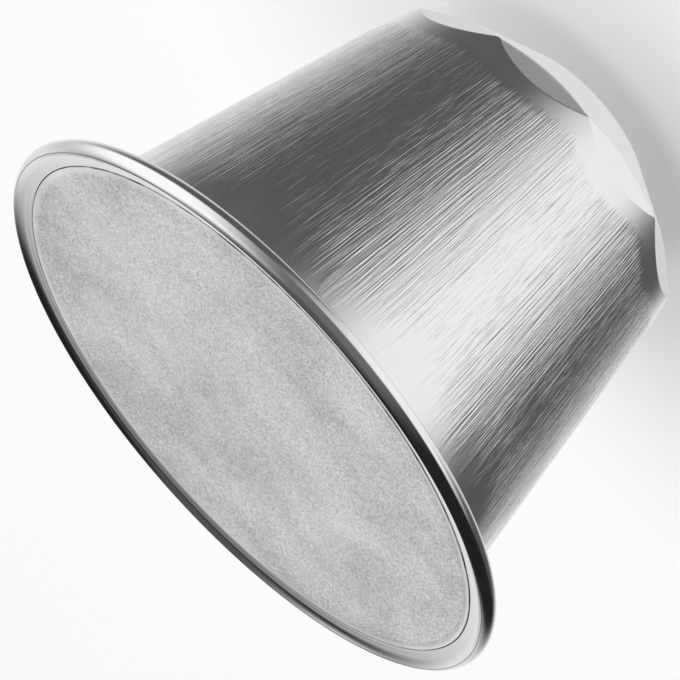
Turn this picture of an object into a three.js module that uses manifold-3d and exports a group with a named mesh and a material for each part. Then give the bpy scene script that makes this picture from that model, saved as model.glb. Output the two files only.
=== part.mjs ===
// A sealed coffee pod in the small metal capsule format: a tapered aluminium cup with a ring of flat
// facets round its shoulder and a rolled flange round its mouth, a foil lid on the flange's face, and a
// soft sealing bead in the corner behind the flange. It stands on its narrow end with the lid on top.
// Millimetres, +Z up. The origin is the centre of the narrow end's flat face.
import * as THREE from 'three';
import { mergeVertices } from 'three/addons/utils/BufferGeometryUtils.js';
import Module from 'manifold-3d';

const wasm = await Module();
wasm.setup();

// Cup
const CUP_HEIGHT = 26.3; // narrow end to the sharp crest of the flange
const FLANGE_RADIUS = 18.5; // outermost edge of the rolled flange
const FLANGE_OVERHANG = 3.07; // how far the flange stands out from the wall
const WALL_TAPER = THREE.MathUtils.degToRad(10.97); // lean of the wall from the pod's axis
const SHOULDER_HEIGHT = 3.78; // where the wall turns in to the narrow end
const END_FLAT_RADIUS = 5.44; // flat face that the pod stands on
const END_BEND_RADIUS = 0.6; // pressed bend round that face

// Shoulder facets
const FACETS = 10;
const FACET_RISE = 1.12; // how far each facet climbs the wall above the shoulder

// Flange
const CURL_RADIUS = 0.65; // section radius of the rolled edge
const CREST_ANGLE = THREE.MathUtils.degToRad(66); // where the crest sits on the roll, above its outermost edge
const CREST_RISE = 0.41; // crest above the flange's flat face
const FLANGE_THICKNESS = 0.2;
const DISH_REACH = 0.66; // width of the dished slope that climbs from the flat face to the crest
const MOUTH_BEND_RADIUS = 0.3; // inside bend between the wall and the flange's back

// Lid
const LID_THICKNESS = 0.1;
const LID_MARGIN = 0.5; // bare flat face between the lid's edge and the dished slope

// Sealing bead
const BEAD_WIDTH = 1;
const BEAD_HEIGHT = 0.9;

// Fineness of the round surfaces
const STEPS_PER_FACET = 8;
const TURN_STEPS = FACETS * STEPS_PER_FACET;
const CURL_UNDER_STEPS = 9;
const CURL_OVER_STEPS = 3;
const DISH_STEPS = 4;
const BEND_STEPS = 4;
const BEAD_STEPS = 6;

// Places that follow from the sizes above
const flangeFaceZ = CUP_HEIGHT - CREST_RISE;
const flangeBackZ = flangeFaceZ - FLANGE_THICKNESS;
const wallSlope = Math.tan(WALL_TAPER);
const mouthRadius = FLANGE_RADIUS - FLANGE_OVERHANG;
const curlCentre = new THREE.Vector2(
  FLANGE_RADIUS - CURL_RADIUS,
  CUP_HEIGHT - CURL_RADIUS * Math.sin(CREST_ANGLE)
);
const crestRadius = curlCentre.x + CURL_RADIUS * Math.cos(CREST_ANGLE);
const dishRadius = crestRadius - DISH_REACH;
const lidRadius = dishRadius - LID_MARGIN;

function wallRadius(z) {
  return mouthRadius - (flangeBackZ - z) * wallSlope;
}

// Points of a circular bend of the given radius that replaces the corner between two straight runs.
function bend(before, corner, after, radius) {
  const back = before.clone().sub(corner).normalize();
  const ahead = after.clone().sub(corner).normalize();
  const halfAngle = Math.acos(back.dot(ahead)) / 2;
  const toCentre = back.clone().add(ahead).normalize();
  const centre = corner.clone().addScaledVector(toCentre, radius / Math.sin(halfAngle));
  const tangentLength = radius / Math.tan(halfAngle);
  const first = corner.clone().addScaledVector(back, tangentLength).sub(centre);
  const last = corner.clone().addScaledVector(ahead, tangentLength).sub(centre);
  const sweep = Math.atan2(first.cross(last), first.dot(last));
  const points = [];
  for (let step = 0; step <= BEND_STEPS; step += 1) {
    const arm = first.clone().rotateAround(new THREE.Vector2(), (sweep * step) / BEND_STEPS);
    points.push(arm.add(centre));
  }
  return points;
}

// The roll, from the flange's back, under and round the outermost edge, up to the crest.
function curlPoints() {
  const section = new THREE.Path();
  const start = Math.PI - Math.asin((flangeBackZ - curlCentre.y) / CURL_RADIUS);
  section.absarc(curlCentre.x, curlCentre.y, CURL_RADIUS, start, 2 * Math.PI);
  section.absarc(curlCentre.x, curlCentre.y, CURL_RADIUS, 0, CREST_ANGLE);
  const [under, over] = section.curves;
  return [...under.getPoints(CURL_UNDER_STEPS), ...over.getPoints(CURL_OVER_STEPS).slice(1)];
}

// The dished slope, from the crest down to the flange's flat face, which it joins without an edge.
function dishPoints() {
  const slope = new THREE.QuadraticBezierCurve(
    new THREE.Vector2(crestRadius, CUP_HEIGHT),
    new THREE.Vector2(crestRadius - DISH_REACH / 2, flangeFaceZ),
    new THREE.Vector2(dishRadius, flangeFaceZ)
  );
  return slope.getPoints(DISH_STEPS).slice(1);
}

// Half section of the sealed cup, from the axis at the narrow end, outside round to the axis at the mouth.
function cupProfile() {
  const endCentre = new THREE.Vector2(0, 0);
  const endCorner = new THREE.Vector2(END_FLAT_RADIUS, 0);
  const shoulder = new THREE.Vector2(wallRadius(SHOULDER_HEIGHT), SHOULDER_HEIGHT);
  const mouthCorner = new THREE.Vector2(mouthRadius, flangeBackZ);
  const curl = curlPoints();
  return [
    endCentre,
    ...bend(endCentre, endCorner, shoulder, END_BEND_RADIUS),
    shoulder,
    ...bend(shoulder, mouthCorner, curl[0], MOUTH_BEND_RADIUS),
    ...curl,
    ...dishPoints(),
    new THREE.Vector2(0, flangeFaceZ)
  ];
}

// A profile of radius and height turned about the pod's axis.
function turned(profile) {
  return new THREE.LatheGeometry(profile, TURN_STEPS).rotateX(Math.PI / 2);
}

// The wedge outside one facet's plane. The plane holds the straight line between two neighbouring cusps
// on the shoulder, and climbs outwards until it leaves the wall.
function facetWedge(index) {
  const shoulderRadius = wallRadius(SHOULDER_HEIGHT);
  const foot = new THREE.Vector2(shoulderRadius * Math.cos(Math.PI / FACETS), SHOULDER_HEIGHT);
  const head = new THREE.Vector2(wallRadius(SHOULDER_HEIGHT + FACET_RISE), SHOULDER_HEIGHT + FACET_RISE);
  const along = head.clone().sub(foot).normalize();
  const away = new THREE.Vector2(along.y, -along.x);
  const reach = 2 * foot.distanceTo(head);
  const low = foot.clone().addScaledVector(along, -reach);
  const high = foot.clone().addScaledVector(along, reach);
  const section = new THREE.Shape([
    low,
    low.clone().addScaledVector(away, reach),
    high.clone().addScaledVector(away, reach),
    high
  ]);
  const width = 2 * shoulderRadius;
  const wedge = new THREE.ExtrudeGeometry(section, { depth: width, bevelEnabled: false });
  wedge.translate(0, 0, -width / 2);
  wedge.rotateX(Math.PI / 2);
  wedge.rotateZ(-Math.PI / 2 + ((index + 0.5) * 2 * Math.PI) / FACETS);
  return wedge;
}

function toSolid(geometry) {
  geometry.deleteAttribute('normal');
  geometry.deleteAttribute('uv');
  const merged = mergeVertices(geometry);
  const corners = merged.index.array;
  const triangles = [];
  for (let start = 0; start < corners.length; start += 3) {
    const [a, b, c] = corners.slice(start, start + 3);
    if (a !== b && b !== c && c !== a) {
      triangles.push(a, b, c);
    }
  }
  return new wasm.Manifold(new wasm.Mesh({
    numProp: 3,
    vertProperties: new Float32Array(merged.attributes.position.array),
    triVerts: new Uint32Array(triangles)
  }));
}

function toGeometry(solid) {
  const mesh = solid.getMesh();
  const geometry = new THREE.BufferGeometry();
  geometry.setAttribute('position', new THREE.BufferAttribute(mesh.vertProperties, 3));
  geometry.setIndex(new THREE.BufferAttribute(mesh.triVerts, 1));
  geometry.computeVertexNormals();
  return geometry;
}

// The drawn cup with its flange and rolled edge, closed at the mouth because the pod is sealed and full.
function makeCup() {
  let cup = toSolid(turned(cupProfile()));
  for (let index = 0; index < FACETS; index += 1) {
    cup = cup.subtract(toSolid(facetWedge(index)));
  }
  const material = new THREE.MeshStandardMaterial({ color: 0xcfd1d3, roughness: 0.3, metalness: 1 });
  const mesh = new THREE.Mesh(toGeometry(cup), material);
  mesh.name = 'sealed_cup';
  return mesh;
}

// The foil disc that lies on the flange's flat face.
function makeLid() {
  const profile = [
    new THREE.Vector2(0, 0),
    new THREE.Vector2(lidRadius, 0),
    new THREE.Vector2(lidRadius, LID_THICKNESS),
    new THREE.Vector2(0, LID_THICKNESS)
  ];
  const material = new THREE.MeshStandardMaterial({ color: 0xc6c7c8, roughness: 0.6, metalness: 0.6 });
  const mesh = new THREE.Mesh(turned(profile), material);
  mesh.name = 'foil_lid';
  mesh.position.z = flangeFaceZ;
  return mesh;
}

// The bead hangs from the flange's back. Its inner side runs along the wall, clear of it by the bend,
// and its outer side is a quarter of an ellipse.
function makeBead() {
  const topInner = new THREE.Vector2(mouthRadius + MOUTH_BEND_RADIUS, 0);
  const bottomInner = new THREE.Vector2(topInner.x - BEAD_HEIGHT * wallSlope, -BEAD_HEIGHT);
  const bulge = new THREE.EllipseCurve(
    bottomInner.x,
    topInner.y,
    topInner.x + BEAD_WIDTH - bottomInner.x,
    BEAD_HEIGHT,
    -Math.PI / 2,
    0
  );
  const profile = [...bulge.getPoints(BEAD_STEPS), topInner, bottomInner];
  const material = new THREE.MeshStandardMaterial({ color: 0x8f9296, roughness: 0.75, metalness: 0 });
  const mesh = new THREE.Mesh(turned(profile), material);
  mesh.name = 'sealing_bead';
  mesh.position.z = flangeBackZ;
  return mesh;
}

const pod = new THREE.Group();
pod.add(makeCup(), makeLid(), makeBead());

export default pod;
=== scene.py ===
"""Coffee pod: the finishes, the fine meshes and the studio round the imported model.

The pod stands on its narrow end with the lid up. Lengths are in metres.
"""

import math

import bpy
import numpy as np
from bpy.props import FloatProperty, FloatVectorProperty, IntProperty, PointerProperty
from mathutils import Matrix, Vector


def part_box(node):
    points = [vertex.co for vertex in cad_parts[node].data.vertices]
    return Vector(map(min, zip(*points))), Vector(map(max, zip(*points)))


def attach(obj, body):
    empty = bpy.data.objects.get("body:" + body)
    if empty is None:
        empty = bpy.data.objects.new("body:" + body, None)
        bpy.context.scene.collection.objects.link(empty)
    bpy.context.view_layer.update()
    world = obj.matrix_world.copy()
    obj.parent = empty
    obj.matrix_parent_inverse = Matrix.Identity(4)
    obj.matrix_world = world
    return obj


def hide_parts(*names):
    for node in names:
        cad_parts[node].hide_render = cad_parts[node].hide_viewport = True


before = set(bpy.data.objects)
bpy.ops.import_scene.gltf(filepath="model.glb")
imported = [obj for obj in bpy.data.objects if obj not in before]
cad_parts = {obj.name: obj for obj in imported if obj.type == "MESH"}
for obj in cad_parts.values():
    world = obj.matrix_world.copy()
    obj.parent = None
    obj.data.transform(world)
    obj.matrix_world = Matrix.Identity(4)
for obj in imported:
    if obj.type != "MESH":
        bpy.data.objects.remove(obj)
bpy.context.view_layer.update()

bl_info = {
    "name": "Coffee Pod",
    "version": (1, 0, 0),
    "blender": (4, 5, 0),
    "location": "3D View > Sidebar > Pod",
    "description": "Builds the visible meshes, finishes and studio of a small metal coffee pod",
    "category": "Object",
}

MM = 0.001
CUP_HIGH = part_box("sealed_cup")[1]
LID_LOW, LID_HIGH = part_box("foil_lid")
BEAD_LOW, BEAD_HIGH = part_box("sealing_bead")

# Columns round the axis. The cup has more, because they follow the facets' cusps.
CUP_COLUMNS = 720
LID_COLUMNS = 360
BEAD_COLUMNS = 360


class PodSizes(bpy.types.PropertyGroup):
    """Lengths of the pod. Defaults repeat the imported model."""

    height: FloatProperty(
        name="Height", description="Narrow end to the crest of the flange",
        default=CUP_HIGH.z, unit="LENGTH")
    flange_radius: FloatProperty(
        name="Flange Radius", description="Axis to the outermost edge of the rolled flange",
        default=CUP_HIGH.x, unit="LENGTH")
    mouth_radius: FloatProperty(
        name="Mouth Radius", description="Wall radius where it meets the flange's back",
        default=15.43 * MM, unit="LENGTH")
    wall_taper: FloatProperty(
        name="Wall Taper", description="Lean of the wall from the axis",
        default=math.radians(10.97), subtype="ANGLE")
    shoulder_height: FloatProperty(
        name="Shoulder Height", description="Where the wall turns in to the narrow end",
        default=3.78 * MM, unit="LENGTH")
    end_radius: FloatProperty(
        name="End Radius", description="Flat face of the narrow end, measured to its corner",
        default=5.44 * MM, unit="LENGTH")
    end_bend: FloatProperty(
        name="End Bend", description="Bend radius round the narrow end's face",
        default=0.6 * MM, unit="LENGTH")
    facets: IntProperty(
        name="Facets", description="Flat facets round the shoulder", default=10, min=3)
    facet_rise: FloatProperty(
        name="Facet Rise", description="How far each facet climbs the wall above the shoulder",
        default=1.12 * MM, unit="LENGTH")
    curl_radius: FloatProperty(
        name="Roll Radius", description="Section radius of the rolled edge",
        default=0.65 * MM, unit="LENGTH")
    crest_angle: FloatProperty(
        name="Crest Angle", description="Place of the crest on the roll, above its outermost edge",
        default=math.radians(66), subtype="ANGLE")
    dish_reach: FloatProperty(
        name="Dish Reach", description="Width of the slope from the flange's flat face to the crest",
        default=0.66 * MM, unit="LENGTH")
    flange_face: FloatProperty(
        name="Flange Face", description="Height of the flange's flat face, which carries the lid",
        default=LID_LOW.z, unit="LENGTH")
    flange_back: FloatProperty(
        name="Flange Back", description="Height of the flange's back",
        default=BEAD_HIGH.z, unit="LENGTH")
    mouth_bend: FloatProperty(
        name="Mouth Bend", description="Bend radius between the wall and the flange's back",
        default=0.3 * MM, unit="LENGTH")
    lid_radius: FloatProperty(
        name="Lid Radius", description="Axis to the lid's edge", default=LID_HIGH.x, unit="LENGTH")
    lid_top: FloatProperty(
        name="Lid Top", description="Height of the lid's outer face", default=LID_HIGH.z, unit="LENGTH")
    lid_wave: FloatProperty(
        name="Lid Wave", description="Greatest rise or fall of the lid's soft undulations",
        default=0.035 * MM, unit="LENGTH")
    lid_margin: FloatProperty(
        name="Lid Margin", description="Smooth sealed band inside the lid's edge",
        default=0.28 * MM, unit="LENGTH")
    groove_width: FloatProperty(
        name="Groove Width", description="Pressed groove round the lid's edge",
        default=0.06 * MM, unit="LENGTH")
    seat_rise: FloatProperty(
        name="Seat Rise", description="How far the flange's face stands up outside the groove",
        default=0.065 * MM, unit="LENGTH")
    face_tilt: FloatProperty(
        name="Face Tilt", description="Rise of the flange's face from the groove to the dished slope",
        default=0.055 * MM, unit="LENGTH")
    crest_round: FloatProperty(
        name="Crest Round", description="Rounding of the crest", default=0.045 * MM, unit="LENGTH")
    bead_radius: FloatProperty(
        name="Bead Radius", description="Axis to the sealing bead's outer edge",
        default=BEAD_HIGH.x, unit="LENGTH")
    bead_low: FloatProperty(
        name="Bead Low", description="Height of the sealing bead's lowest point",
        default=BEAD_LOW.z, unit="LENGTH")


class PodFinish(bpy.types.PropertyGroup):
    """Colours and surface values."""

    metal_color: FloatVectorProperty(
        name="Metal", description="Bare aluminium", default=(0.91, 0.91, 0.915), size=3, subtype="COLOR")
    flange_roughness: FloatProperty(
        name="Flange Roughness", description="Flange and its rolled edge", default=0.13, min=0, max=1)
    smooth_roughness: FloatProperty(
        name="Smooth Roughness", description="Facets, narrow end and the wall's smooth ends",
        default=0.24, min=0, max=1)
    brushed_roughness: FloatProperty(
        name="Brushed Roughness", description="Brushed part of the wall", default=0.14, min=0, max=1)
    line_pitch: FloatProperty(
        name="Line Pitch", description="Spacing of the brushed lines round the wall",
        default=0.12 * MM, unit="LENGTH")
    line_length: FloatProperty(
        name="Line Length", description="Usual length of a brushed line", default=5 * MM, unit="LENGTH")
    line_depth: FloatProperty(
        name="Line Depth", description="Depth of the brushed lines", default=0.042 * MM, unit="LENGTH")
    lid_color: FloatVectorProperty(
        name="Lid", description="Matte foil", default=(0.80, 0.80, 0.80), size=3, subtype="COLOR")
    lid_roughness: FloatProperty(
        name="Lid Roughness", description="Matte foil", default=0.55, min=0, max=1)
    bead_color: FloatVectorProperty(
        name="Bead", description="Soft sealing compound", default=(0.30, 0.31, 0.32), size=3,
        subtype="COLOR")


class PodStudio(bpy.types.PropertyGroup):
    """Camera, floor and light."""

    camera_azimuth: FloatProperty(
        name="Camera Azimuth", description="Direction of the camera from the pod, round +Z from +X",
        default=math.radians(-88.5), subtype="ANGLE")
    camera_elevation: FloatProperty(
        name="Camera Elevation", description="Height of the camera above the lid's plane",
        default=math.radians(20.78), subtype="ANGLE")
    camera_roll: FloatProperty(
        name="Camera Roll", description="Turn of the picture about the line of sight",
        default=math.radians(131.4), subtype="ANGLE")
    camera_distance: FloatProperty(
        name="Camera Distance", description="Camera to the pod's middle along the line of sight",
        default=309.96 * MM, unit="LENGTH")
    aim_height: FloatProperty(
        name="Aim Height", description="Height on the axis that the framing is measured from",
        default=14 * MM, unit="LENGTH")
    frame_offset: FloatVectorProperty(
        name="Frame Offset", description="How far that point lies right of and above the picture's middle",
        default=(3.27 * MM, 3.44 * MM), size=2, unit="LENGTH")
    lens: FloatProperty(
        name="Lens", description="Focal length in millimetres on a 36 mm sensor", default=294.1)
    floor_size: FloatProperty(
        name="Floor Size", description="Side of the square floor", default=6.0, unit="LENGTH")
    floor_color: FloatVectorProperty(
        name="Floor", description="Pale floor", default=(0.80, 0.80, 0.80), size=3, subtype="COLOR")
    floor_lift: FloatProperty(
        name="Floor Lift", description="Light added to the floor where it is seen", default=0.275)
    lamp_power: FloatProperty(
        name="Lamp Power", description="Soft lamp overhead, in watts", default=6.0, subtype="POWER")
    lamp_size: FloatProperty(
        name="Lamp Size", description="Diameter of the lamp", default=1.2, unit="LENGTH")
    lamp_height: FloatProperty(
        name="Lamp Height", description="Lamp above the floor", default=0.8, unit="LENGTH")


def sizes():
    return bpy.context.scene.pod_sizes


def finish_values():
    return bpy.context.scene.pod_finish


def studio():
    return bpy.context.scene.pod_studio


# Node helpers


def add_node(tree, kind, **settings):
    node = tree.nodes.new(kind)
    for name, value in settings.items():
        setattr(node, name, value)
    return node


def feed(tree, socket, value):
    """Links a socket, or sets a plain value."""
    if isinstance(value, bpy.types.NodeSocket):
        tree.links.new(value, socket)
    else:
        socket.default_value = value


def maths(tree, operation, *values, clamp=False):
    node = add_node(tree, "ShaderNodeMath", operation=operation, use_clamp=clamp)
    for socket, value in zip(node.inputs, values):
        feed(tree, socket, value)
    return node.outputs[0]


def times(tree, first, second):
    return maths(tree, "MULTIPLY", first, second)


def plus(tree, first, second):
    return maths(tree, "ADD", first, second)


def minus(tree, first, second):
    return maths(tree, "SUBTRACT", first, second)


def swing(tree, value, amount):
    """A noise, which lies round a half, as a rise and fall of some amount."""
    return times(tree, minus(tree, value, 0.5), amount)


def vector_of(tree, x, y, z):
    node = add_node(tree, "ShaderNodeCombineXYZ")
    for socket, value in zip(node.inputs, (x, y, z)):
        feed(tree, socket, value)
    return node.outputs[0]


def radius_of(tree, point):
    """Distance of a point from the pod's axis, and its three coordinates."""
    split = add_node(tree, "ShaderNodeSeparateXYZ")
    feed(tree, split.inputs[0], point)
    x, y, z = split.outputs
    square = plus(tree, times(tree, x, x), times(tree, y, y))
    return maths(tree, "SQRT", square), x, y, z


def ramp_between(tree, value, start, end, low=0.0, high=1.0):
    """Smooth step of a value between start and end."""
    node = add_node(tree, "ShaderNodeMapRange", interpolation_type="SMOOTHSTEP")
    for socket, item in zip(node.inputs[:5], (value, start, end, low, high)):
        feed(tree, socket, item)
    return node.outputs[0]


def mix_value(tree, factor, low, high):
    node = add_node(tree, "ShaderNodeMix", data_type="FLOAT")
    for socket, value in zip((node.inputs[0], node.inputs[2], node.inputs[3]), (factor, low, high)):
        feed(tree, socket, value)
    return node.outputs[0]


def mix_color(tree, factor, low, high, blend_type="MIX"):
    node = add_node(tree, "ShaderNodeMix", data_type="RGBA", blend_type=blend_type)
    for socket, value in zip((node.inputs[0], node.inputs[6], node.inputs[7]), (factor, low, high)):
        feed(tree, socket, value)
    return node.outputs[2]


def tinted(tree, color, tone):
    """A plain colour made darker or lighter by a tone that changes over the surface."""
    return mix_color(tree, 1.0, (*color, 1.0), vector_of(tree, tone, tone, tone), "MULTIPLY")


def noise(tree, vector, scale, detail=2.0, roughness=0.5, distortion=0.0):
    node = add_node(tree, "ShaderNodeTexNoise", noise_dimensions="3D")
    feed(tree, node.inputs["Vector"], vector)
    feed(tree, node.inputs["Scale"], scale)
    feed(tree, node.inputs["Detail"], detail)
    feed(tree, node.inputs["Roughness"], roughness)
    feed(tree, node.inputs["Distortion"], distortion)
    return node.outputs["Fac"]


def new_group(name, inputs, outputs):
    """Empty shader node group. Inputs are (name, default) pairs; a default of None makes a vector."""
    group = bpy.data.node_groups.new(name, "ShaderNodeTree")
    for label, default in inputs:
        kind = "NodeSocketVector" if default is None else "NodeSocketFloat"
        socket = group.interface.new_socket(label, in_out="INPUT", socket_type=kind)
        if default is not None:
            socket.default_value = default
    for label in outputs:
        group.interface.new_socket(label, in_out="OUTPUT", socket_type="NodeSocketFloat")
    ends = group.nodes.new("NodeGroupInput"), group.nodes.new("NodeGroupOutput")
    return group, ends[0].outputs, ends[1].inputs


def place_group(tree, group, **values):
    """Group node with its inputs set; underscores in a name stand for spaces."""
    node = add_node(tree, "ShaderNodeGroup", node_tree=group)
    for label, value in values.items():
        feed(tree, node.inputs[label.replace("_", " ").title()], value)
    return node.outputs


def brushed_lines_group():
    """Height of wavering lines that run along the wall. They are noise stretched along the axis."""
    name = "brushed_lines"
    if name in bpy.data.node_groups:
        return bpy.data.node_groups[name]
    group, given, result = new_group(
        name,
        [("Point", None), ("Radius", 15 * MM), ("Pitch", 0.3 * MM), ("Length", 7 * MM), ("Waver", 0.15)],
        ["Height"])
    wander_round = 9.0
    wander_along = 1.6
    waver_lines = 10.0
    reach, x, y, z = radius_of(group, given["Point"])
    unit_x = maths(group, "DIVIDE", x, reach)
    unit_y = maths(group, "DIVIDE", y, reach)
    along = maths(group, "DIVIDE", z, given["Length"])
    lines_round = maths(group, "DIVIDE", given["Radius"], given["Pitch"])
    # A small turn of the direction moves the lines sideways without breaking them.
    wander = vector_of(group, times(group, unit_x, wander_round), times(group, unit_y, wander_round),
                       times(group, along, wander_along))
    drift = swing(group, noise(group, wander, scale=1.0), given["Waver"])
    turn = times(group, maths(group, "DIVIDE", drift, lines_round), waver_lines)
    turned_x = minus(group, unit_x, times(group, turn, unit_y))
    turned_y = plus(group, unit_y, times(group, turn, unit_x))
    lines = vector_of(group, times(group, turned_x, lines_round), times(group, turned_y, lines_round), along)
    feed(group, result["Height"], noise(group, lines, scale=1.0, detail=1.5))
    return group


def grain_group():
    """Even mottled grain at one size, with softer clouds at another."""
    name = "mottled_grain"
    if name in bpy.data.node_groups:
        return bpy.data.node_groups[name]
    group, given, result = new_group(
        name, [("Point", None), ("Grain", 0.3 * MM), ("Cloud", 4 * MM)], ["Fine", "Soft"])
    grains = maths(group, "DIVIDE", 1.0, given["Grain"])
    clouds = maths(group, "DIVIDE", 1.0, given["Cloud"])
    fine = noise(group, given["Point"], grains, detail=3.0, roughness=0.6)
    soft = noise(group, given["Point"], clouds, detail=3.5, distortion=0.5)
    feed(group, result["Fine"], fine)
    feed(group, result["Soft"], soft)
    return group


def new_material(name):
    material = bpy.data.materials.new(name)
    material.use_nodes = True
    tree = material.node_tree
    tree.nodes.clear()
    surface = add_node(tree, "ShaderNodeBsdfPrincipled")
    output = add_node(tree, "ShaderNodeOutputMaterial")
    tree.links.new(surface.outputs[0], output.inputs["Surface"])
    return material, tree, surface


def object_point(tree):
    return add_node(tree, "ShaderNodeTexCoord").outputs["Object"]


def band(tree, value, middle, half_width):
    """One inside a band round a value, falling smoothly to nothing at its edges."""
    full_share = 0.45
    away = maths(tree, "ABSOLUTE", minus(tree, value, middle))
    return ramp_between(tree, away, half_width, half_width * full_share)


def add_bump(tree, surface, height, distance, strength=1.0):
    bump = add_node(tree, "ShaderNodeBump")
    bump.inputs["Strength"].default_value = strength
    bump.inputs["Distance"].default_value = distance
    feed(tree, bump.inputs["Height"], height)
    feed(tree, surface.inputs["Normal"], bump.outputs[0])


def brushed_zone(tree, point, x, y, z):
    """Mask of the brushed part of the wall. It starts in low scallops above the facets, and it fades out
    in streaks under the flange."""
    s = sizes()
    start_rise = 2 * MM
    scallop_depth = 0.28 * MM
    fray_length = 5 * MM
    foot_fray = 0.12
    foot_from, foot_to = -0.3 * MM, 0.6 * MM
    head_from, head_to = s.flange_back - 1.6 * MM, s.flange_back - 5.6 * MM
    streak = place_group(tree, brushed_lines_group(), point=point, radius=s.mouth_radius,
                         pitch=0.9 * MM, length=9 * MM, waver=0.3)[0]
    fray = swing(tree, streak, fray_length)
    azimuth = maths(tree, "ARCTAN2", x, times(tree, y, -1.0))
    cusp = maths(tree, "COSINE", times(tree, azimuth, float(s.facets)))
    start = minus(tree, s.shoulder_height + start_rise, times(tree, cusp, scallop_depth))
    above = minus(tree, z, start)
    foot = ramp_between(tree, plus(tree, above, times(tree, fray, foot_fray)), foot_from, foot_to)
    head = ramp_between(tree, plus(tree, z, fray), head_from, head_to)
    return maths(tree, "MULTIPLY", foot, head, clamp=True)


def brushed_height(tree, point):
    """Long brushed lines with finer ones between them."""
    s, f = sizes(), finish_values()
    waver = 0.12
    fine_pitch, fine_length, fine_weight = 0.42, 0.3, 0.3
    long_lines = place_group(tree, brushed_lines_group(), point=point, radius=s.mouth_radius,
                             pitch=f.line_pitch, length=f.line_length, waver=waver)[0]
    fine_lines = place_group(tree, brushed_lines_group(), point=point, radius=s.mouth_radius,
                             pitch=f.line_pitch * fine_pitch, length=f.line_length * fine_length,
                             waver=waver)[0]
    return plus(tree, long_lines, times(tree, fine_lines, fine_weight))


def painted_flange_shade(tree, radius, z):
    """Mask of painted shade in the groove round the lid, and of a painted dark reflection along the crest of
    the flange.
    """
    s = sizes()
    crest_offset, crest_half_width, crest_weight = 0.03 * MM, 0.045 * MM, 0.6
    groove_half_width = s.groove_width * 0.8
    top_from, top_to = s.flange_face - 0.3 * MM, s.flange_face - 0.15 * MM
    crest_radius = s.flange_radius - s.curl_radius * (1 - math.cos(s.crest_angle))
    groove = band(tree, radius, s.lid_radius + s.groove_width / 2, groove_half_width)
    crest = band(tree, radius, crest_radius + crest_offset, crest_half_width)
    lines = maths(tree, "MAXIMUM", groove, times(tree, crest, crest_weight))
    return times(tree, lines, ramp_between(tree, z, top_from, top_to))


def cup_material():
    s, f = sizes(), finish_values()
    tone_middle, tone_swing = 0.97, 0.05
    wear_swing = 0.06
    flange_end, wall_start = s.flange_back - 0.1 * MM, s.flange_back - 0.6 * MM
    # Colour of the painted shade in the groove and of the painted dark reflection along the crest.
    painted_shade_color = (0.03, 0.03, 0.032, 1.0)
    material, tree, surface = new_material("pod_aluminium")
    point = object_point(tree)
    radius, x, y, z = radius_of(tree, point)
    brushed = brushed_zone(tree, point, x, y, z)
    add_bump(tree, surface, times(tree, brushed_height(tree, point), brushed), f.line_depth)

    fine, soft = place_group(tree, grain_group(), point=point, grain=0.25 * MM, cloud=3 * MM)
    below_flange = ramp_between(tree, z, flange_end, wall_start)
    smooth = mix_value(tree, below_flange, f.flange_roughness, f.smooth_roughness)
    roughness = mix_value(tree, brushed, smooth, f.brushed_roughness)
    wear = swing(tree, soft, wear_swing)
    feed(tree, surface.inputs["Roughness"], maths(tree, "ADD", roughness, wear, clamp=True))

    metal = tinted(tree, f.metal_color, plus(tree, tone_middle, swing(tree, fine, tone_swing)))
    # The groove round the lid gets painted shade and the flange's crest a painted dark reflection.
    color = mix_color(tree, painted_flange_shade(tree, radius, z), metal, painted_shade_color)
    feed(tree, surface.inputs["Base Color"], color)
    surface.inputs["Metallic"].default_value = 1.0
    return material


def lid_material():
    """Matte fibrous foil. The margin that is sealed to the flange has no fibres and is a bit glossier."""
    s, f = sizes(), finish_values()
    margin_from, margin_to = s.lid_radius - s.lid_margin * 0.4, s.lid_radius - s.lid_margin * 2.0
    margin_tone, fibre_tone = 1.02, 0.97
    margin_gloss = 0.8
    clump_height = 1.2
    fibre_swing, small_cloud_swing, large_cloud_swing = 2.0, 0.45, 0.8
    material, tree, surface = new_material("pod_lid_foil")
    point = object_point(tree)
    inside = ramp_between(tree, radius_of(tree, point)[0], margin_from, margin_to)
    fibres, small_clouds = place_group(tree, grain_group(), point=point, grain=0.12 * MM, cloud=4 * MM)
    clumps, large_clouds = place_group(tree, grain_group(), point=point, grain=0.5 * MM, cloud=11 * MM)
    height = plus(tree, fibres, times(tree, clumps, clump_height))
    add_bump(tree, surface, times(tree, height, inside), distance=0.15 * MM)

    tone = mix_value(tree, inside, margin_tone, fibre_tone)
    tone = plus(tree, tone, times(tree, swing(tree, fibres, fibre_swing), inside))
    tone = plus(tree, tone, swing(tree, small_clouds, small_cloud_swing))
    tone = plus(tree, tone, swing(tree, large_clouds, large_cloud_swing))
    feed(tree, surface.inputs["Base Color"], tinted(tree, f.lid_color, tone))
    roughness = mix_value(tree, inside, f.lid_roughness * margin_gloss, f.lid_roughness)
    feed(tree, surface.inputs["Roughness"], roughness)
    surface.inputs["Metallic"].default_value = 0.2
    return material


def bead_material():
    f = finish_values()
    lighter = 1.25
    least_rough, most_rough = 0.55, 0.75
    material, tree, surface = new_material("pod_sealing_bead")
    fine, soft = place_group(tree, grain_group(), point=object_point(tree), grain=0.15 * MM, cloud=2 * MM)
    add_bump(tree, surface, fine, distance=0.02 * MM, strength=0.6)
    light = tuple(min(1.0, part * lighter) for part in f.bead_color)
    feed(tree, surface.inputs["Base Color"], mix_color(tree, soft, (*f.bead_color, 1.0), (*light, 1.0)))
    feed(tree, surface.inputs["Roughness"], mix_value(tree, fine, least_rough, most_rough))
    return material


# Mesh helpers


def arc(centre, radius, start, end, steps):
    """Points of a circular arc, ends included."""
    turn = np.linspace(start, end, steps + 1)
    return [(centre[0] + radius * math.cos(t), centre[1] + radius * math.sin(t)) for t in turn]


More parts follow.
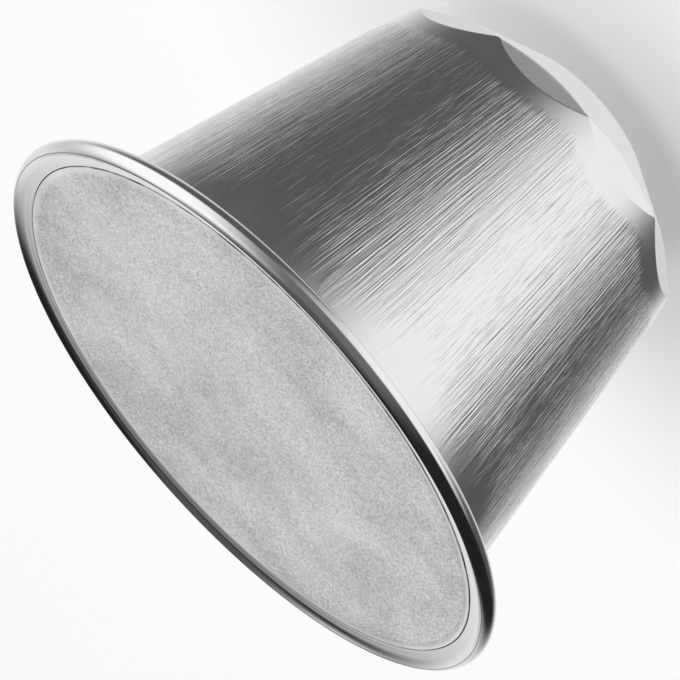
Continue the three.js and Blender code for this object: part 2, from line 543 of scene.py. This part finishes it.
def bend(before, corner, after, radius, steps):
    """Points of the arc that rounds a corner between two straight runs."""
    corner = Vector(corner)
    back = (Vector(before) - corner).normalized()
    ahead = (Vector(after) - corner).normalized()
    half = math.acos(back.dot(ahead)) / 2
    centre = corner + (back + ahead).normalized() * (radius / math.sin(half))
    first = corner + back * (radius / math.tan(half)) - centre
    last = corner + ahead * (radius / math.tan(half)) - centre
    begin = math.atan2(first.y, first.x)
    sweep = math.atan2(first.x * last.y - first.y * last.x, first.dot(last))
    return arc(centre, radius, begin, begin + sweep, steps)


def curve_through(start, pull, end, steps):
    """Points of a quadratic curve, without its first."""
    points = []
    for t in np.linspace(0, 1, steps + 1)[1:]:
        a, b, c = (1 - t) ** 2, 2 * t * (1 - t), t * t
        points.append((a * start[0] + b * pull[0] + c * end[0], a * start[1] + b * pull[1] + c * end[1]))
    return points


def soft_min(first, second, width):
    """Lesser of two radii, with a rounded change from one to the other."""
    share = np.clip(0.5 + 0.5 * (second - first) / width, 0, 1)
    return second * (1 - share) + first * share - width * share * (1 - share)


def cap_faces(middle, ring, flip):
    """Triangles from a middle vertex to a ring of vertices."""
    following = np.roll(ring, -1)
    first, second = (ring, following) if flip else (following, ring)
    return [[middle, a, b] for a, b in zip(first.tolist(), second.tolist())]


def turned_mesh(name, radii, heights, azimuth, closed_section=False):
    """Mesh from rows of radii and heights, one column for each azimuth. Open sections end on the axis."""
    rows, columns = radii.shape
    x = radii * np.cos(azimuth)
    y = radii * np.sin(azimuth)
    vertices = np.stack([x, y, heights], -1).reshape(-1, 3).tolist()
    index = np.arange(rows * columns).reshape(rows, columns)
    if closed_section:
        index = np.vstack([index, index[:1]])
    nearer, further = index[:-1], index[1:]
    quads = np.stack([nearer, np.roll(nearer, -1, 1), np.roll(further, -1, 1), further], -1)
    faces = quads.reshape(-1, 4).tolist()
    if not closed_section:
        for row, flip in ((0, False), (-1, True)):
            faces += cap_faces(len(vertices), index[row], flip)
            vertices.append((0.0, 0.0, float(heights[row, 0])))
    mesh = bpy.data.meshes.new(name)
    mesh.from_pydata(vertices, [], faces)
    mesh.validate()
    mesh.polygons.foreach_set("use_smooth", [True] * len(mesh.polygons))
    mesh.update()
    piece = bpy.data.objects.new(name, mesh)
    bpy.context.scene.collection.objects.link(piece)
    return piece


def columns_round(count):
    return np.linspace(-math.pi / 2, 3 * math.pi / 2, count, endpoint=False)


def rows_from(points, columns):
    """Rows of constant radius and height from a list of section points."""
    section = np.array(points, float)
    ones = np.ones((1, columns))
    return section[:, :1] * ones, section[:, 1:] * ones


def spread(first, last, count):
    """Rows spaced evenly from one row towards another, which they don't reach."""
    share = np.linspace(0, 1, count, endpoint=False)[:, None]
    return first * (1 - share) + last * share


def shoulder_rows(s, azimuth, start_height, end_height):
    """Rows of the end cone, the facets and the wall. They follow each facet's two curved edges."""
    shoulder_round = 0.08 * MM
    lower_edge_round = 0.11 * MM
    upper_edge_round = 0.025 * MM
    least_drop, least_climb = 0.15 * MM, 0.17 * MM
    lower_reach, upper_reach = 0.12 * MM, 0.13 * MM
    cone_rows, edge_rows, facet_rows, wall_rows = 7, 8, 6, 16

    slope = math.tan(s.wall_taper)
    level = s.shoulder_height
    shoulder = s.mouth_radius - (s.flange_back - level) * slope
    cone_slope = (shoulder - s.end_radius) / level
    chord = shoulder * math.cos(math.pi / s.facets)
    facet_slope = (shoulder + s.facet_rise * slope - chord) / s.facet_rise

    # A facet's plane cuts the wall above the shoulder and the cone below it, deepest at its middle.
    step = 2 * math.pi / s.facets
    cosine = np.cos(np.mod(azimuth + math.pi / 2, step) - step / 2)
    cut = np.maximum(shoulder - chord / cosine, 0)
    upper_edge = level + np.maximum(cut / (facet_slope / cosine - slope), least_climb)
    lower_edge = level - np.maximum(cut / (cone_slope - facet_slope / cosine), least_drop)

    everywhere = np.ones_like(azimuth)
    heights = np.vstack([
        spread(start_height * everywhere, lower_edge - lower_reach, cone_rows)[1:],
        spread(lower_edge - lower_reach, lower_edge + lower_reach, edge_rows),
        spread(lower_edge + lower_reach, upper_edge - upper_reach, facet_rows),
        spread(upper_edge - upper_reach, upper_edge + upper_reach, edge_rows),
        spread(upper_edge + upper_reach, end_height * everywhere, wall_rows),
    ])
    above = heights - level
    turned = soft_min(shoulder + above * cone_slope, shoulder + above * slope, shoulder_round)
    facet = (chord + above * facet_slope) / cosine
    edge_round = np.where(above < 0, lower_edge_round, upper_edge_round)
    return soft_min(turned, facet, edge_round), heights


def narrow_end_points(s, shoulder):
    """Flat face of the narrow end, without its middle, and the bend round it."""
    rounded = bend((0, 0), (s.end_radius, 0), shoulder, s.end_bend, steps=6)
    flat_radius = rounded[0][0]
    return [(share * flat_radius, 0.0) for share in (0.35, 0.7)] + rounded


def flange_points(s, crest_radius):
    """Flange from its back, round the roll and over the crest, down the dished slope and across its face."""
    bead_side = s.mouth_radius + 1.1 * MM
    curl = (s.flange_radius - s.curl_radius, s.height - s.curl_radius * math.sin(s.crest_angle))
    under = math.pi - math.asin((s.flange_back - curl[1]) / s.curl_radius)
    crest_turn = s.crest_round / s.curl_radius
    roll = arc(curl, s.curl_radius, under, 2 * math.pi + s.crest_angle - crest_turn, steps=26)

    crest = (crest_radius, s.height)
    seat = s.flange_face + s.seat_rise
    dish_end = (crest_radius - s.dish_reach, seat + s.face_tilt)
    dish_pull = (crest_radius - s.dish_reach * 0.45, seat + s.face_tilt * 1.4)
    dish = curve_through(crest, dish_pull, dish_end, steps=12)
    crest_over = curve_through(roll[-1], crest, dish[0], steps=4)[:-1]
    return [(bead_side, s.flange_back)] + roll + crest_over + dish + face_points(s, seat, dish_end[0])


def face_points(s, seat, outer):
    """The flange's face inwards from the dished slope, the groove, and the seat under the lid's edge."""
    lid_clearance = 0.005 * MM
    groove_depth = 0.04 * MM
    groove_lean = 0.008 * MM
    lip_width, lip_drop = 0.02 * MM, 0.012 * MM
    upper_step, upper_share = 0.15 * MM, 0.42
    lower_step, lower_share = 0.3 * MM, 0.04
    under_lid = s.flange_face - 0.004 * MM
    under_lid_radius = s.lid_radius * 0.6
    groove_in = s.lid_radius + lid_clearance
    groove_out = groove_in + s.groove_width
    groove_floor = s.flange_face - groove_depth
    return [
        (outer - upper_step, seat + s.face_tilt * upper_share),
        (outer - lower_step, seat + s.face_tilt * lower_share),
        (groove_out + lip_width, seat),
        (groove_out, seat - lip_drop),
        (groove_out - groove_lean, groove_floor),
        (groove_in, groove_floor),
        (groove_in - 2 * lid_clearance, under_lid),
        (under_lid_radius, under_lid),
    ]


def cup_piece():
    s = sizes()
    azimuth = columns_round(CUP_COLUMNS)
    shoulder_radius = s.mouth_radius - (s.flange_back - s.shoulder_height) * math.tan(s.wall_taper)
    shoulder = (shoulder_radius, s.shoulder_height)
    mouth = (s.mouth_radius, s.flange_back)
    crest_radius = s.flange_radius - s.curl_radius * (1 - math.cos(s.crest_angle))
    narrow_end = narrow_end_points(s, shoulder)
    mouth_bend = bend(shoulder, mouth, (crest_radius, s.flange_back), s.mouth_bend, steps=5)
    rows = (
        rows_from(narrow_end, CUP_COLUMNS),
        shoulder_rows(s, azimuth, narrow_end[-1][1], mouth_bend[0][1]),
        rows_from(mouth_bend + flange_points(s, crest_radius), CUP_COLUMNS),
    )
    radii, heights = (np.vstack(part) for part in zip(*rows))
    return turned_mesh("cup_shell", radii, heights, azimuth)


def undulation(x, y):
    """Soft rise and fall over the lid, from minus one to one, as a few crossed waves."""
    # Each wave's radians per millimetre along X and Y, and its start
    waves = (
        (0.61, 0.35, 0.4),
        (-0.42, 0.77, 1.9),
        (0.95, -0.52, 3.1),
        (0.28, 1.12, 5.0),
        (-1.05, -0.5, 2.2),
    )
    bow = 0.8
    total = np.zeros_like(x)
    for along_x, along_y, start in waves:
        crossing = (along_y * x - along_x * y) / (2 * MM)
        total += np.sin((along_x * x + along_y * y) / MM + start + bow * np.sin(crossing))
    return total / len(waves)


def lid_piece():
    s = sizes()
    outer = s.lid_radius
    edge_round = 0.03 * MM
    foot = s.flange_face + 0.002 * MM
    foot_round = 0.008 * MM
    under_radius = outer * 0.5
    first_row, last_row, row_count = outer - 0.12 * MM, 0.2 * MM, 80
    fade_width = 2.5 * MM
    azimuth = columns_round(LID_COLUMNS)
    rim = [
        (under_radius, foot),
        (outer - edge_round, foot),
        (outer, foot + foot_round),
        (outer, s.lid_top - edge_round),
    ] + bend((outer, s.flange_face), (outer, s.lid_top), (0, s.lid_top), edge_round, steps=3)
    rim_radii, rim_heights = rows_from(rim, LID_COLUMNS)

    radii = np.linspace(first_row, last_row, row_count)[:, None] * np.ones((1, LID_COLUMNS))
    fade = np.clip((outer - s.lid_margin - radii) / fade_width, 0, 1)
    fade = fade * fade * (3 - 2 * fade)
    wave = undulation(radii * np.cos(azimuth), radii * np.sin(azimuth))
    top = s.lid_top + s.lid_wave * wave * fade
    top[-1] = top[-1].mean()
    return turned_mesh("lid_foil", np.vstack([rim_radii, radii]), np.vstack([rim_heights, top]), azimuth)


def bead_piece():
    """Bead in the corner: a quarter of an ellipse outside, and an inner side that follows the wall."""
    s = sizes()
    clear = 0.01 * MM
    bend_share = 0.6
    wall_clearance = 0.05 * MM
    lowest_turn = 0.12
    middle_share, low_share = 0.5, 0.93
    slope = math.tan(s.wall_taper)
    height = s.flange_back - s.bead_low
    top = s.flange_back - clear
    top_inner = s.mouth_radius + s.mouth_bend * bend_share
    bottom_inner = s.mouth_radius - height * slope + clear
    reach = s.bead_radius - bottom_inner
    bulge = [(bottom_inner + reach * math.sin(t), top - (height - clear) * math.cos(t))
             for t in np.linspace(lowest_turn, math.pi / 2, 12)]
    section = bulge + [
        (top_inner, top),
        (s.mouth_radius + wall_clearance, s.flange_back - s.mouth_bend * bend_share),
        (bottom_inner + middle_share * height * slope, s.flange_back - height * middle_share),
        (bottom_inner, s.flange_back - height * low_share),
    ]
    radii, heights = rows_from(section, BEAD_COLUMNS)
    return turned_mesh("bead_ring", radii, heights, columns_round(BEAD_COLUMNS), closed_section=True)


def finish_piece(piece, material, node):
    piece.data.materials.append(material)
    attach(piece, "root")
    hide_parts(node)


class POD_OT_make_cup(bpy.types.Operator):
    """Makes the cup's shell with its facets and rolled flange"""

    bl_idname = "pod.make_cup"
    bl_label = "Make Cup"

    def execute(self, context):
        finish_piece(cup_piece(), cup_material(), "sealed_cup")
        return {"FINISHED"}


class POD_OT_make_lid(bpy.types.Operator):
    """Makes the foil lid with its soft undulations"""

    bl_idname = "pod.make_lid"
    bl_label = "Make Lid"

    def execute(self, context):
        finish_piece(lid_piece(), lid_material(), "foil_lid")
        return {"FINISHED"}


class POD_OT_make_bead(bpy.types.Operator):
    """Makes the sealing bead behind the flange"""

    bl_idname = "pod.make_bead"
    bl_label = "Make Sealing Bead"

    def execute(self, context):
        finish_piece(bead_piece(), bead_material(), "sealing_bead")
        return {"FINISHED"}


# Studio


def make_camera(t):
    level_share = math.cos(t.camera_elevation)
    away = Vector((math.cos(t.camera_azimuth) * level_share, math.sin(t.camera_azimuth) * level_share,
                   math.sin(t.camera_elevation)))
    level = Vector((0, 0, 1)).cross(away).normalized()
    turn = Matrix.Rotation(-t.camera_roll, 3, away)
    right, up = turn @ level, turn @ away.cross(level)
    middle = Vector((0, 0, t.aim_height)) - right * t.frame_offset[0] - up * t.frame_offset[1]
    camera = bpy.data.cameras.new("pod_camera")
    camera.lens = t.lens
    camera.sensor_width = 36
    holder = bpy.data.objects.new("pod_camera", camera)
    axes = Matrix((right, up, away)).transposed()
    holder.matrix_world = Matrix.Translation(middle + away * t.camera_distance) @ axes.to_4x4()
    bpy.context.scene.collection.objects.link(holder)
    bpy.context.scene.camera = holder


def floor_material(t):
    """Matte floor, lifted to near white where it is seen."""
    material = bpy.data.materials.new("pale_floor")
    material.use_nodes = True
    tree = material.node_tree
    tree.nodes.clear()
    matte = add_node(tree, "ShaderNodeBsdfDiffuse")
    matte.inputs["Color"].default_value = (*t.floor_color, 1.0)
    path = add_node(tree, "ShaderNodeLightPath").outputs
    mirrored = maths(tree, "MAXIMUM", path["Is Glossy Ray"], path["Is Transmission Ray"])
    seen = maths(tree, "MAXIMUM", path["Is Camera Ray"], mirrored)
    glow = add_node(tree, "ShaderNodeEmission")
    feed(tree, glow.inputs["Strength"], times(tree, seen, t.floor_lift))
    both = add_node(tree, "ShaderNodeAddShader")
    tree.links.new(matte.outputs[0], both.inputs[0])
    tree.links.new(glow.outputs[0], both.inputs[1])
    output = add_node(tree, "ShaderNodeOutputMaterial")
    tree.links.new(both.outputs[0], output.inputs["Surface"])
    return material


def make_floor(t):
    """Pale floor that takes the pod's shadow. It isn't mirrored in the metal, and it lets the room's light
    through from below."""
    half = t.floor_size / 2
    corners = [(x, y, 0) for x, y in ((-half, -half), (half, -half), (half, half), (-half, half))]
    mesh = bpy.data.meshes.new("floor")
    mesh.from_pydata(corners, [], [(0, 1, 2, 3)])
    mesh.materials.append(floor_material(t))
    floor = bpy.data.objects.new("floor", mesh)
    bpy.context.scene.collection.objects.link(floor)
    floor.visible_glossy = False
    floor.visible_shadow = False


def panel_group():
    """Soft-edged panel of the room. It is one inside its inner angle round an azimuth, and falls to
    nothing at its outer angle."""
    group, given, result = new_group(
        "room_panel",
        [("East", 1.0), ("North", 0.0), ("Azimuth", 0.0), ("Inner", 0.5), ("Outer", 1.0)],
        ["Mask"])
    facing = plus(group, times(group, given["East"], maths(group, "COSINE", given["Azimuth"])),
                  times(group, given["North"], maths(group, "SINE", given["Azimuth"])))
    within = maths(group, "MINIMUM", maths(group, "MAXIMUM", facing, -1.0), 1.0)
    off = maths(group, "ARCCOSINE", within)
    feed(group, result["Mask"], ramp_between(group, off, given["Outer"], given["Inner"]))
    return group


def make_room():
    """Soft studio room. Above the horizon it is dark, with a bright panel on the right and one behind, a
    dim one in front and a dim ceiling. Below the horizon it is pale, with a dark flag on each side."""
    world = bpy.data.worlds.new("studio_room")
    bpy.context.scene.world = world
    world.use_nodes = True
    tree = world.node_tree
    tree.nodes.clear()
    reach, x, y, z = radius_of(tree, add_node(tree, "ShaderNodeTexCoord").outputs["Generated"])
    tiny = 0.001
    level = maths(tree, "MAXIMUM", reach, tiny)
    east, north = maths(tree, "DIVIDE", x, level), maths(tree, "DIVIDE", y, level)
    group = panel_group()

    def panel(azimuth, inner, outer):
        return place_group(tree, group, east=east, north=north, azimuth=math.radians(azimuth),
                           inner=math.radians(inner), outer=math.radians(outer))[0]

    def below(low, high):
        """One under the lower elevation and nothing over the higher, in degrees."""
        return ramp_between(tree, z, math.sin(math.radians(high)), math.sin(math.radians(low)))

    def above(low, high):
        return minus(tree, 1.0, below(low, high))

    right = times(tree, panel(azimuth=0, inner=16, outer=68), below(44, 74))
    behind = times(tree, panel(azimuth=86, inner=22, outer=54), below(12, 48))
    front = times(tree, panel(azimuth=-85, inner=15, outer=60), below(50, 75))
    left_of_ceiling = panel(azimuth=165, inner=30, outer=75)
    ceiling = times(tree, above(40, 70), minus(tree, 1.0, left_of_ceiling))
    upper = 0.016
    for mask, strength in ((front, 0.155), (ceiling, 0.09), (behind, 0.82), (right, 1.08)):
        upper = mix_value(tree, mask, upper, strength)

    far_floor = times(tree, panel(azimuth=92, inner=15, outer=60), below(-36, -24))
    right_flag = panel(azimuth=-17, inner=30, outer=93)
    left_flag = times(tree, panel(azimuth=161, inner=16, outer=53), above(-68, -48))
    lower = 0.95
    for mask, strength in ((far_floor, 0.80), (right_flag, 0.098), (left_flag, 0.09)):
        lower = mix_value(tree, mask, lower, strength)

    background = add_node(tree, "ShaderNodeBackground")
    background.inputs["Color"].default_value = (1, 1, 1, 1)
    feed(tree, background.inputs["Strength"], mix_value(tree, below(-28, -13), upper, lower))
    output = add_node(tree, "ShaderNodeOutputWorld")
    tree.links.new(background.outputs[0], output.inputs["Surface"])


def make_lamp(t):
    """Large soft lamp overhead. It lights the lid and the floor and stays out of the metal's reflections."""
    light = bpy.data.lights.new("overhead_lamp", "AREA")
    light.shape = "DISK"
    light.size = t.lamp_size
    light.energy = t.lamp_power
    lamp = bpy.data.objects.new("overhead_lamp", light)
    lamp.location = (0, 0, t.lamp_height)
    lamp.visible_glossy = False
    bpy.context.scene.collection.objects.link(lamp)


class POD_OT_make_studio(bpy.types.Operator):
    """Sets the camera, the floor, the room and the lamp"""

    bl_idname = "pod.make_studio"
    bl_label = "Make Studio"

    def execute(self, context):
        t = studio()
        make_camera(t)
        make_floor(t)
        make_room()
        make_lamp(t)
        context.scene.view_settings.view_transform = "Standard"
        return {"FINISHED"}


class POD_PT_panel(bpy.types.Panel):
    """Buttons that make the pod and its studio"""

    bl_idname = "POD_PT_panel"
    bl_label = "Coffee Pod"
    bl_space_type = "VIEW_3D"
    bl_region_type = "UI"
    bl_category = "Pod"

    def draw(self, context):
        for operator in OPERATORS:
            self.layout.operator(operator.bl_idname)
        for group in (context.scene.pod_sizes, context.scene.pod_finish, context.scene.pod_studio):
            box = self.layout.box()
            for name in group.__annotations__:
                box.prop(group, name)


OPERATORS = (POD_OT_make_cup, POD_OT_make_lid, POD_OT_make_bead, POD_OT_make_studio)
GROUPS = (("pod_sizes", PodSizes), ("pod_finish", PodFinish), ("pod_studio", PodStudio))


def register():
    for name, group in GROUPS:
        bpy.utils.register_class(group)
        setattr(bpy.types.Scene, name, PointerProperty(type=group))
    for operator in OPERATORS:
        bpy.utils.register_class(operator)
    bpy.utils.register_class(POD_PT_panel)


def unregister():
    bpy.utils.unregister_class(POD_PT_panel)
    for operator in reversed(OPERATORS):
        bpy.utils.unregister_class(operator)
    for name, group in reversed(GROUPS):
        delattr(bpy.types.Scene, name)
        bpy.utils.unregister_class(group)


def main():
    register()
    bpy.ops.pod.make_cup()
    bpy.ops.pod.make_lid()
    bpy.ops.pod.make_bead()
    bpy.ops.pod.make_studio()


if __name__ == "__main__":
    main()
